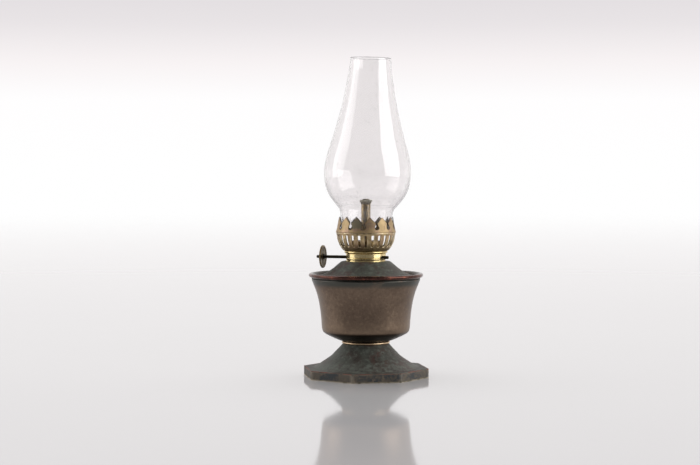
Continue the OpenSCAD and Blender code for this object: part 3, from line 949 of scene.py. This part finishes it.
class LAMP_OT_crown(bpy.types.Operator):
    """Press the crown: a seat for the glass, and springy leaves cut round it and bent by hand"""
    bl_idname = "lamp.crown"
    bl_label = "Crown"

    def execute(self, context):
        leaves = context.scene.lamp_sizes.leaves
        bottom, top = low("gallery_crown"), high("gallery_crown")
        sheet = size("sheet")
        skin = raised(curve([(21.45, 0), (21.6, 0.6), (21.1, 2.2), (20.5, 5), (19.9, 8.4),
                             (19.5, top - bottom)], 4), bottom)
        outline = ([(16.9, bottom)] + skin + list(reversed(beside(skin[3:], sheet)))
                   + [(21.1, bottom + sheet), (16.9, bottom + sheet)])
        crown = spun("leaf_crown", outline, closed=True, steps=leaves * 12)
        half = math.pi / leaves
        first = burner_angle() + math.radians(FIRST_LEAF)
        widest = 19.9 * half + 0.05
        throat = 0.5
        gap = (arc(0, bottom + 3.8, 1.5, 165, 375, 14)
               + [(1.1, bottom + 5.4), (throat, bottom + 6.4), (throat, bottom + 6.8),
                  (widest, top - 0.05), (widest, top + 2), (-widest, top + 2),
                  (-widest, top - 0.05), (-throat, bottom + 6.8), (-throat, bottom + 6.4),
                  (-1.1, bottom + 5.4)])
        for k in range(leaves):
            cutter = prism("gap", gap, 12, 30)
            turn = first + half * (2 * k + 1) - math.pi / 2
            cut(crown, turned(cutter, turn))
        edit(crown)
        draw = random.Random(SEED)
        for k in range(leaves):
            middle = first + 2 * half * k
            out = Vector((math.cos(middle), math.sin(middle), 0))
            side = Vector((-out.y, out.x, 0))

            def on_leaf(at, part, height=0):
                around = math.atan2(at.dot(side), at.dot(out))
                return abs(around) < half and at.z > bottom + height

            for height, most in ((5.4, 2.2), (8.2, 3.0)):
                choose(crown, lambda at, part: on_leaf(at, part, height), "VERT")
                root = (out * 20.4 + Vector((0, 0, bottom + height))) * MM
                bpy.ops.transform.rotate(
                    value=math.radians(draw.uniform(-most, most)), orient_type="GLOBAL",
                    orient_matrix=(side, -out, (0, 0, 1)), orient_matrix_type="GLOBAL",
                    orient_axis="X", center_override=root)
        bpy.ops.object.mode_set(mode="OBJECT")
        modify(crown, "TRIANGULATE")
        hand_made(crown, 7, 0.16)
        tone = crown.data.attributes.new("tone", "FLOAT", "POINT")
        for vert, value in zip(crown.data.vertices, tone.data):
            around = math.atan2(vert.co.y, vert.co.x) - first
            leaf = LEAF_TONES[round(around / (2 * half)) % leaves % len(LEAF_TONES)]
            up = min(max((vert.co.z / MM - bottom - 1.5) / 2.5, 0), 1)
            value.value = 0.35 + (leaf - 0.35) * up
        finish_piece(crown, "crown_copper", "gallery_crown", sharp=0.5, full=1.2)
        return done()


class LAMP_OT_wick_tube(bpy.types.Operator):
    """Roll the wick tube, with its seam and its window, and flare its mouth"""
    bl_idname = "lamp.wick_tube"
    bl_label = "Wick tube"

    def execute(self, context):
        bottom, top = low("wick_tube"), high("wick_tube")
        outer, inner = reach("wick_tube"), TUBE_BORE
        tube = spun("rolled_tube", [
            (inner, bottom), (outer - 0.1, bottom), (outer, bottom + 0.1), (outer, top),
            (inner, top)], closed=True, steps=64)
        sill, head = TUBE_WINDOW
        window = prism("window", [(-1.6, sill), (1.6, sill), (1.6, head), (-1.6, head)], 1, 5)
        cut(tube, turned(window, burner_angle() + math.pi))
        seam = prism("seam", [(-0.28, SEAM_FOOT), (0.28, SEAM_FOOT), (0.22, top - 2.4),
                              (-0.22, top - 2.4)], outer - 0.24, 5)
        cut(tube, turned(seam, math.radians(TUBE_SEAM)))
        finish_piece(tube, "tarnished_tube", "wick_tube", sharp=0.5, full=1.2)

        flare = raised([(3.4, -2.6), (3.62, -1.9), (4.1, -1.3), (4.5, -0.9), (4.58, -0.5),
                        (4.4, -0.1), (3.95, 0.1), (3.6, 0.1)], top)
        flange = spun("tube_mouth", [(3.37, flare[0][1])] + curve(flare, 4)
                      + [(3.37, top)], closed=True, steps=72)
        hand_made(flange, 2.6, 0.5)
        finish_piece(flange, "tarnished_tube", "tube_flange", sharp=0.3, full=0.8)
        return done()


class LAMP_OT_thumb_wheel(bpy.types.Operator):
    """Knurl the thumb wheel and dish both of its faces"""
    bl_idname = "lamp.thumb_wheel"
    bl_label = "Thumb wheel"

    def execute(self, context):
        corners = context.scene.lamp_sizes.knurls * 4
        corner_step = 2 * math.pi / corners
        rod(WHEEL_RADIUS, WHEEL_THICKNESS, corners)
        wheel = started("knurled_wheel")
        choose(wheel, lambda at, part: abs(at.z) > 0.5)
        bpy.ops.mesh.inset(thickness=1.1 * MM)
        bpy.ops.mesh.inset(thickness=0.25 * MM, depth=-0.25 * MM)
        bpy.ops.mesh.inset(thickness=4.1 * MM)
        bpy.ops.mesh.inset(thickness=0.25 * MM, depth=0.25 * MM)
        choose(wheel, lambda at, part: at.xy.length > WHEEL_RADIUS - 0.1
               and round(math.atan2(at.y, at.x) / corner_step) % 4 in (2, 3), "VERT")
        root = (WHEEL_RADIUS - 0.32) / WHEEL_RADIUS
        bpy.ops.transform.resize(value=(root, root, 1))
        bpy.ops.object.mode_set(mode="OBJECT")
        round_edges(wheel, 0.1, 2, 40)
        placed(wheel, shaft_place(WHEEL_PLACE))
        finish_piece(wheel, "wheel_brass", "thumb_wheel", sharp=0.2, full=0.6)
        return done()


class LAMP_OT_shaft(bpy.types.Operator):
    """Draw the raiser's shaft, with a rounded end beyond the thumb wheel"""
    bl_idname = "lamp.shaft"
    bl_label = "Shaft"

    def execute(self, context):
        start, end = SHAFT_ENDS
        rod(SHAFT_RADIUS, end - start, 40)
        shaft = started("raiser_rod")
        choose(shaft, lambda at, part: abs(at.z) > 5)
        bpy.ops.mesh.inset(thickness=0.45 * MM, depth=0.3 * MM)
        bpy.ops.object.mode_set(mode="OBJECT")
        round_edges(shaft, 0.2, 3, 25)
        placed(shaft, shaft_place((start + end) / 2))
        finish_piece(shaft, "dark_shaft", "raiser_shaft", sharp=0.15, full=0.5)
        return done()


class LAMP_OT_wick(bpy.types.Operator):
    """Plait the wick: a soft round cord with a frayed and charred tip"""
    bl_idname = "lamp.wick"
    bl_label = "Wick"

    def execute(self, context):
        bottom, top = low("wick"), high("wick")
        outline = curve([(0, bottom), (2.2, bottom), (2.55, bottom + 0.5)], 3)
        rows = 180
        rise = (top - 0.8 - bottom - 0.5) / rows
        outline += [(2.6 - 0.08 * (k % 2), bottom + 0.5 + rise * k) for k in range(1, rows)]
        outline += curve([(2.55, top - 0.8), (2.3, top - 0.2), (1.4, top - 0.1),
                          (0.7, top - 0.35), (0, top - 0.2)], 4)
        wick = spun("wick_cord", outline, steps=48)
        hand_made(wick, 1.2, 0.25)
        finish_piece(wick, "cotton_wick", "wick")
        return done()


class LAMP_OT_chimney(bpy.types.Operator):
    """Blow the glass chimney, which leans a little on its flat-cut foot"""
    bl_idname = "lamp.chimney"
    bl_label = "Chimney"

    def execute(self, context):
        sizes = context.scene.lamp_sizes
        wall, mouth = size("glass_wall"), size("glass_mouth")
        foot, bulb = size("glass_foot"), size("glass_bulb")
        seat = low("chimney")
        mouth_z = CHIMNEY_HEIGHT - wall / 2
        skin = curve([(foot, -1), (foot, 8), (foot + 1.1, 15.3), (foot + 3.8, 19),
                      (bulb - 4.2, 25.4), (bulb - 0.9, 33.4), (bulb, 43.5), (bulb - 1.6, 54.4),
                      (bulb - 5.6, 68), (mouth + 7.8, 79.5), (mouth + 4.1, 95),
                      (mouth + 1.8, 108.7), (mouth + 0.5, 117.5), (mouth, mouth_z)], 8)
        lip = arc(mouth - wall / 2, mouth_z, wall / 2, 0, 180, 8)
        inner = list(reversed(beside(skin, wall)))
        chimney = spun("glass_chimney", raised(skin + lip[1:-1] + inner, seat), closed=True,
                       steps=96)
        lean_axis = sizes.lean_towards + math.pi / 2
        across = Vector((math.cos(lean_axis), math.sin(lean_axis), 0))
        foot_point = Matrix.Translation((0, 0, seat * MM))
        placed(chimney, foot_point @ Matrix.Rotation(sizes.lean, 4, across)
               @ foot_point.inverted())
        edit(chimney)
        bpy.ops.mesh.select_all(action="SELECT")
        bpy.ops.mesh.bisect(plane_co=(0, 0, seat * MM), plane_no=(0, 0, -1),
                            clear_outer=True, clear_inner=False, use_fill=False)
        choose(chimney, lambda at, part: part.is_boundary, "EDGE")
        bpy.ops.mesh.bridge_edge_loops()
        close_edit()
        modify(chimney, "SUBSURF", levels=1, render_levels=1)
        finish_piece(chimney, "clear_glass", "chimney")
        return done()


class LAMP_OT_inner_parts(bpy.types.Operator):
    """Finish the machined parts inside the lamp, which keep their shapes"""
    bl_idname = "lamp.inner_parts"
    bl_label = "Inner parts"

    def execute(self, context):
        for node, slot in INNER_PARTS.items():
            mesh = frame["nodes"][node].data
            mesh.materials.clear()
            mesh.materials.append(finish(slot))
        return done()


INNER_PARTS = {node: slot for slot, nodes in {
    "dark_bronze": ("foot_plate",),
    "aged_brass": ("stud_washer", "stud_nut", "tie_stud", "spur_box", "vent_tube",
                   "air_diffuser", "spur_wheels", "shaft_collars"),
    "polished_brass": ("font_collar", "burner_screw"),
    "cork": ("burner_gasket",),
    "dark_shaft": ("wheel_hub",),
}.items() for node in nodes}


# What the camera sees behind the lamp, from the horizon up, and what lights the lamp, from
# in front of it to behind it: (place, colour).
BACKDROP = ((0.0, (1, 1, 1)), (0.04, (1, 0.99, 0.995)), (0.061, (0.94, 0.9, 0.905)),
            (0.084, (0.81, 0.775, 0.79)), (0.12, (0.72, 0.69, 0.71)))
ROOM = ((0.0, (0.05, 0.05, 0.052)), (0.4, (0.16, 0.155, 0.155)),
        (0.62, (0.9, 0.88, 0.88)), (1.0, (1, 0.98, 0.98)))


class LAMP_OT_studio(bpy.types.Operator):
    """Set the pale floor, the soft light and the camera"""
    bl_idname = "lamp.studio"
    bl_label = "Studio"

    def execute(self, context):
        studio = context.scene.lamp_studio
        floor = self.lay_floor(studio)
        self.light(context.scene, studio, floor)
        self.stand_camera(context.scene, studio)
        context.scene.view_settings.view_transform = "Standard"
        return done()

    def lay_floor(self, studio):
        clear_selection()
        bpy.ops.mesh.primitive_circle_add(vertices=96, radius=60, fill_type="NGON")
        floor = bpy.context.object
        floor.name = "studio_floor"
        made = Finish(roughness=0.07, ior=1.45)
        made.material.name = "studio_floor"
        cloud = made.noise(3, 2)
        made.put("base_color", made.mix(made.ramp(cloud, 0.3, 0.7, 0, 0.05),
                                        tuple(studio.floor), (1, 1, 1)))
        far = made.node("ShaderNodeVectorMath", operation="LENGTH")
        made.join(made.place, far.inputs[0])
        made.put("alpha", made.ramp(far.outputs["Value"], 0.7, 4.5, 1, 0))
        floor.data.materials.append(made.material)
        return floor

    def light(self, scene, studio, floor):
        world = bpy.data.worlds.new("studio")
        world.use_nodes = True
        scene.world = world
        sky = Nodes(world.node_tree)
        place = sky.node("ShaderNodeTexCoord").outputs["Generated"]
        seen = sky.stops(sky.axis(place, "Z"), BACKDROP)
        lit = sky.stops(sky.math("MULTIPLY_ADD", sky.axis(place, "Y"), 0.5, 0.5), ROOM)
        to_camera = sky.node("ShaderNodeLightPath").outputs["Is Camera Ray"]
        sky.join(sky.mix(to_camera, lit, seen), sky.tree.nodes["Background"].inputs["Color"])
        unlit = bpy.data.collections.new("unlit_by_boxes")
        unlit.objects.link(floor)
        unlit.collection_objects[0].light_linking.link_state = "EXCLUDE"
        washed = bpy.data.collections.new("washed")
        washed.objects.link(floor)
        for name, place, watts, sides, lit in (
                ("left_box", (-1.0, 0.12, 0.42), studio.left_power, (0.75, 0.8), unlit),
                ("right_box", (0.87, -0.5, 0.42), studio.right_power, (0.95, 0.8), unlit),
                ("floor_wash", (0, 0, 3), studio.wash_power, (3, 3), washed)):
            lamp = bpy.data.lights.new(name, "AREA")
            lamp.shape = "RECTANGLE"
            lamp.size, lamp.size_y = sides
            lamp.energy = watts
            obj = bpy.data.objects.new(name, lamp)
            scene.collection.objects.link(obj)
            obj.location = place
            obj.rotation_euler = (Vector((0, 0, 0.09)) - obj.location).to_track_quat(
                "-Z", "Y").to_euler()
            obj.visible_camera = False
            obj.visible_glossy = lit is unlit
            obj.light_linking.receiver_collection = lit

    def stand_camera(self, scene, studio):
        camera = bpy.data.cameras.new("camera")
        camera.sensor_width = 36
        camera.lens = LENS
        obj = bpy.data.objects.new("camera", camera)
        scene.collection.objects.link(obj)
        obj.location = (math.sin(studio.azimuth) * studio.camera_away,
                        -math.cos(studio.azimuth) * studio.camera_away, studio.camera_height)
        obj.rotation_euler = (math.pi / 2 - math.radians(AIM_DOWN), 0,
                              studio.azimuth + math.radians(AIM_LEFT))
        scene.camera = obj


class LAMP_PT_sidebar(bpy.types.Panel):
    """Lists the pieces of the lamp"""
    bl_idname = "LAMP_PT_sidebar"
    bl_label = "Oil lamp"
    bl_space_type = "VIEW_3D"
    bl_region_type = "UI"
    bl_category = "Lamp"

    def draw(self, context):
        for group in (context.scene.lamp_sizes, context.scene.lamp_finishes,
                      context.scene.lamp_studio):
            box = self.layout.box()
            for name in group.__annotations__:
                box.prop(group, name)
        for operator in PIECES:
            self.layout.operator(operator.bl_idname)


PIECES = (LAMP_OT_foot, LAMP_OT_neck_ring, LAMP_OT_bowl, LAMP_OT_shoulder, LAMP_OT_band,
          LAMP_OT_basket, LAMP_OT_crown, LAMP_OT_wick_tube, LAMP_OT_thumb_wheel,
          LAMP_OT_shaft, LAMP_OT_wick, LAMP_OT_chimney, LAMP_OT_inner_parts, LAMP_OT_studio)
CLASSES = (LampSizes, LampFinishes, LampStudio, *PIECES, LAMP_PT_sidebar)
SETTINGS = {"lamp_sizes": LampSizes, "lamp_finishes": LampFinishes, "lamp_studio": LampStudio}


def register():
    for cls in CLASSES:
        bpy.utils.register_class(cls)
    for name, group in SETTINGS.items():
        setattr(bpy.types.Scene, name, PointerProperty(type=group))


def unregister():
    for name in SETTINGS:
        delattr(bpy.types.Scene, name)
    for cls in reversed(CLASSES):
        bpy.utils.unregister_class(cls)


def main():
    register()
    for operator in PIECES:
        group, name = operator.bl_idname.split(".")
        getattr(getattr(bpy.ops, group), name)()


if __name__ == "__main__":
    main()
